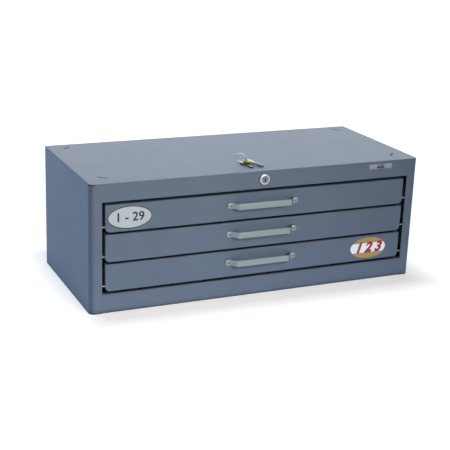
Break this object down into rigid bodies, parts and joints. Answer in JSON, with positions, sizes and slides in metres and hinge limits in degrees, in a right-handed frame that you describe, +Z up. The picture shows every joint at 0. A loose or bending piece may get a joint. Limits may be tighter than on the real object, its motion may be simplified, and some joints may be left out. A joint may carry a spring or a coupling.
{
  "type": "reamer dispenser cabinet",
  "caption": "Low bench cabinet of folded steel with locking drawers on runners, each divided front to back into compartments with a curved scoop for dispensing reamers.",
  "frame": {"origin": "middle of the case's footprint, on the surface that the cabinet stands on", "axes": "+X to the right seen from the front, +Y to the back, +Z up; the drawers open towards -Y"},
  "size_m": [0.594, 0.2728, 0.2319],
  "materials": {
    "case_paint": "semi-gloss blue-grey powder coat",
    "drawer_paint": "semi-gloss blue-grey powder coat",
    "tray_paint": "semi-gloss blue-grey powder coat",
    "strip_paint": "satin pale grey with printed numbers",
    "runner_zinc": "zinc-plated sheet",
    "hardware_zinc": "zinc-plated",
    "handle_zinc": "satin zinc-plated strap",
    "rivet_aluminium": "bright",
    "lock_chrome": "polished chrome",
    "plate_silver": "satin, bare, thin dark border on the oval",
    "badge_gold": "gilt rim around a pale enamelled field",
    "key_brass": "dull brass bow, dark blade",
    "ring_steel": "bright wire"
  },
  "bodies": {
    "cabinet": {"top_panel": "case_paint", "right_side_panel": "case_paint", "left_side_panel": "case_paint", "bottom_panel": "case_paint", "back_panel": "case_paint", "runner_1_right": "runner_zinc", "runner_1_left": "runner_zinc", "runner_2_right": "runner_zinc", "runner_2_left": "runner_zinc", "runner_3_right": "runner_zinc", "runner_3_left": "runner_zinc", "name_plate": "plate_silver", "lock_housing": "lock_chrome", "lock_nut": "hardware_zinc", "rod_bracket": "hardware_zinc", "lock_bar_guides": "hardware_zinc"},
    "lock": {"lock_plug": "lock_chrome", "lock_rod": "hardware_zinc", "crank": "hardware_zinc", "crank_nut": "hardware_zinc"},
    "bar": {"lock_bar": "hardware_zinc"},
    "drawer_1": {"drawer_1_front": "drawer_paint", "drawer_1_pan": "tray_paint", "drawer_1_scoop": "tray_paint", "drawer_1_dividers": "tray_paint", "drawer_1_label_strip": "strip_paint", "drawer_1_right_rail": "runner_zinc", "drawer_1_left_rail": "runner_zinc", "drawer_1_handle": "handle_zinc", "drawer_1_handle_rivets": "rivet_aluminium", "drawer_1_catch": "hardware_zinc", "drawer_1_oval_label": "plate_silver"},
    "drawer_2": {"drawer_2_front": "drawer_paint", "drawer_2_pan": "tray_paint", "drawer_2_scoop": "tray_paint", "drawer_2_dividers": "tray_paint", "drawer_2_label_strip": "strip_paint", "drawer_2_right_rail": "runner_zinc", "drawer_2_left_rail": "runner_zinc", "drawer_2_handle": "handle_zinc", "drawer_2_handle_rivets": "rivet_aluminium", "drawer_2_catch": "hardware_zinc"},
    "drawer_3": {"drawer_3_front": "drawer_paint", "drawer_3_pan": "tray_paint", "drawer_3_scoop": "tray_paint", "drawer_3_dividers": "tray_paint", "drawer_3_label_strip": "strip_paint", "drawer_3_right_rail": "runner_zinc", "drawer_3_left_rail": "runner_zinc", "drawer_3_handle": "handle_zinc", "drawer_3_handle_rivets": "rivet_aluminium", "drawer_3_catch": "hardware_zinc", "drawer_3_oval_badge": "badge_gold"},
    "keys": {"key_1": "key_brass", "key_2": "key_brass", "key_ring": "ring_steel"}
  },
  "joints": [
    {"name": "drawer_1_slide", "type": "slide", "parent": "cabinet", "child": "drawer_1", "axis": [0, -1, 0], "range_m": [0, 0.2]},
    {"name": "drawer_2_slide", "type": "slide", "parent": "cabinet", "child": "drawer_2", "axis": [0, -1, 0], "range_m": [0, 0.2]},
    {"name": "drawer_3_slide", "type": "slide", "parent": "cabinet", "child": "drawer_3", "axis": [0, -1, 0], "range_m": [0, 0.2]},
    {"name": "lock_turn", "type": "hinge", "parent": "cabinet", "child": "lock", "pos_m": [0, 0, 0.2], "axis": [0, 1, 0], "range_deg": [0, 90]},
    {"name": "lock_bar_lift", "type": "slide", "parent": "cabinet", "child": "bar", "axis": [0, 0, 1], "range_m": [0, 0.01131]},
    {"name": "keys_lift", "type": "slide", "parent": "cabinet", "child": "keys", "axis": [0, 0, 1], "range_m": [0, 0.06]}
  ],
  "couplings": [
    {"joint": "lock_turn", "follows": "lock_bar_lift", "rad_per_m": 138.84}
  ]
}
